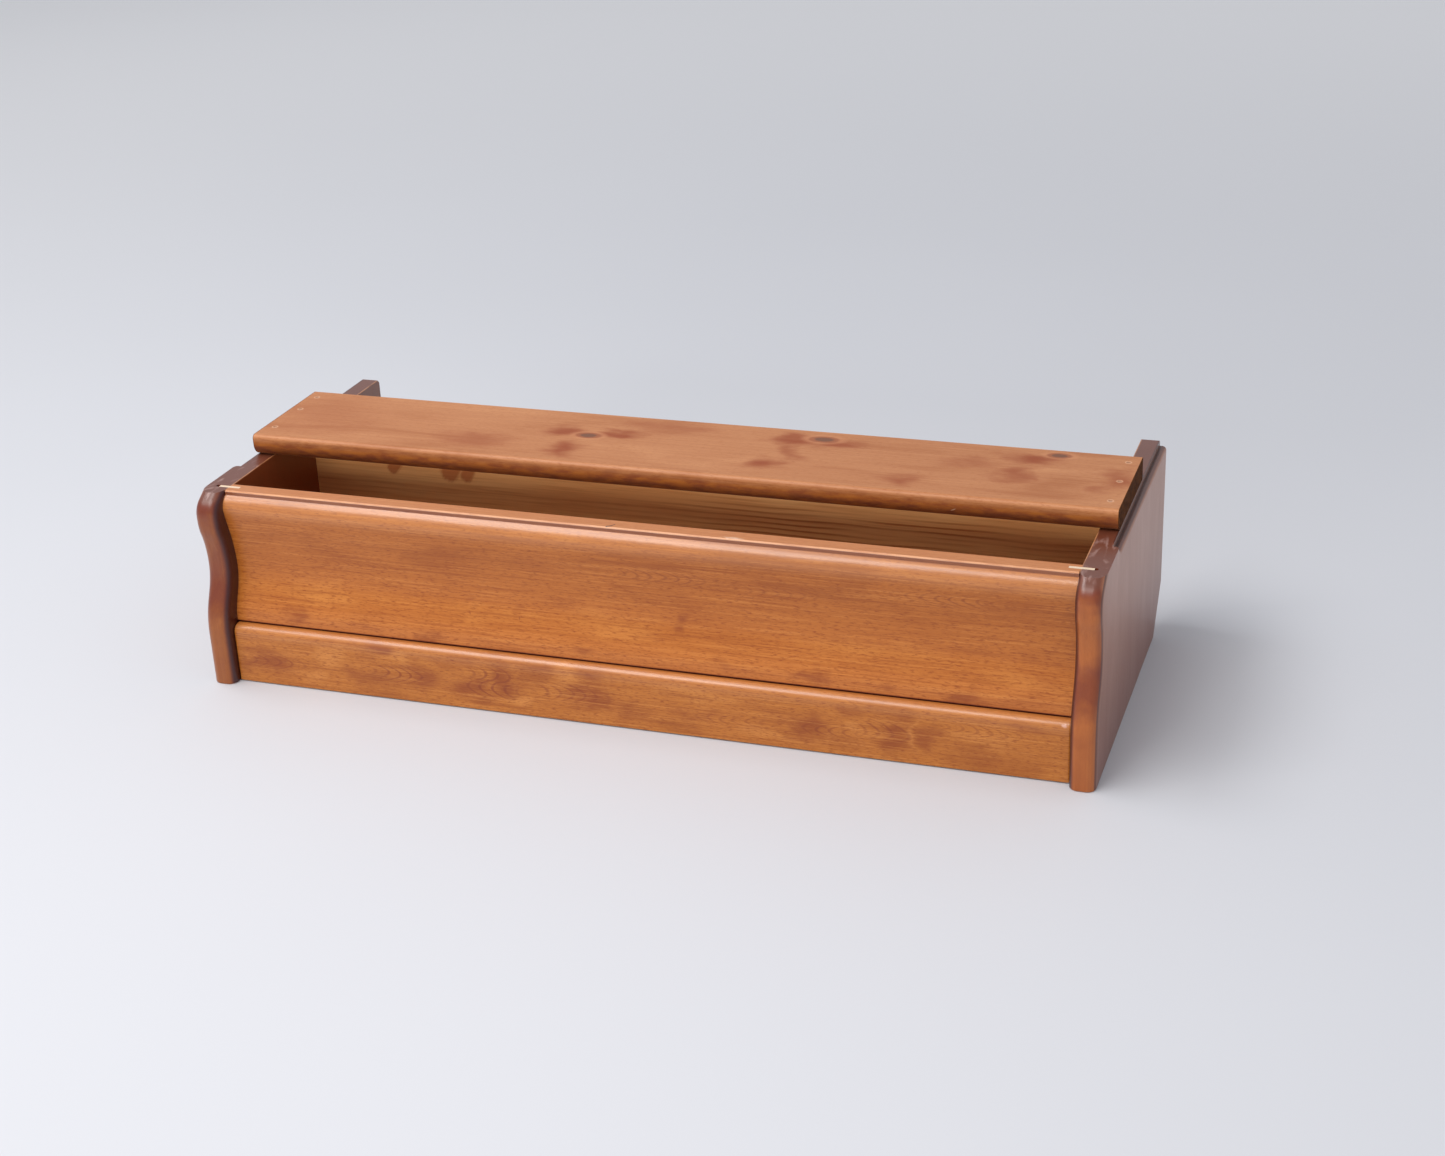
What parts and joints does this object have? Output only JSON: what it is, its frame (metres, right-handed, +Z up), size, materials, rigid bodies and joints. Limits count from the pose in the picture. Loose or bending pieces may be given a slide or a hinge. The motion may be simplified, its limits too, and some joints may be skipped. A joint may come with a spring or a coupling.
{
  "type": "wooden toy box",
  "caption": "Low stained wooden toy box with a moulded wave front, plinth, shaped side boards, a nailed rounded-front top board and an open slot into the storage space.",
  "frame": {"origin": "on the floor under the middle of the whole box, midway between its ends and midway from front to back", "axes": "+X along the length towards the right end, +Y towards the back, +Z up; the moulded front faces -Y"},
  "size_m": [0.765, 0.314, 0.19],
  "materials": {
    "stained_side": "satin dark stain and varnish",
    "stained_front": "satin orange-brown stain and varnish",
    "bare_pine": "unfinished planed pine",
    "plywood": "unfinished plywood",
    "pale_tongue": "unfinished pale wood",
    "steel": "plain steel"
  },
  "bodies": {
    "root": {"left_side": "stained_side", "right_side": "stained_side", "front_panel": "stained_front", "plinth": "stained_front", "top_board": "stained_front", "back_board": "bare_pine", "bottom_board": "plywood", "front_cleat": "bare_pine", "back_cleat": "bare_pine", "front_tongue_left": "pale_tongue", "front_tongue_right": "pale_tongue", "plinth_tongue_left": "pale_tongue", "plinth_tongue_right": "pale_tongue", "back_tongue_left": "pale_tongue", "back_tongue_right": "pale_tongue", "top_nails": "steel", "bottom_brads": "steel", "cleat_screws": "steel"}
  },
  "joints": []
}
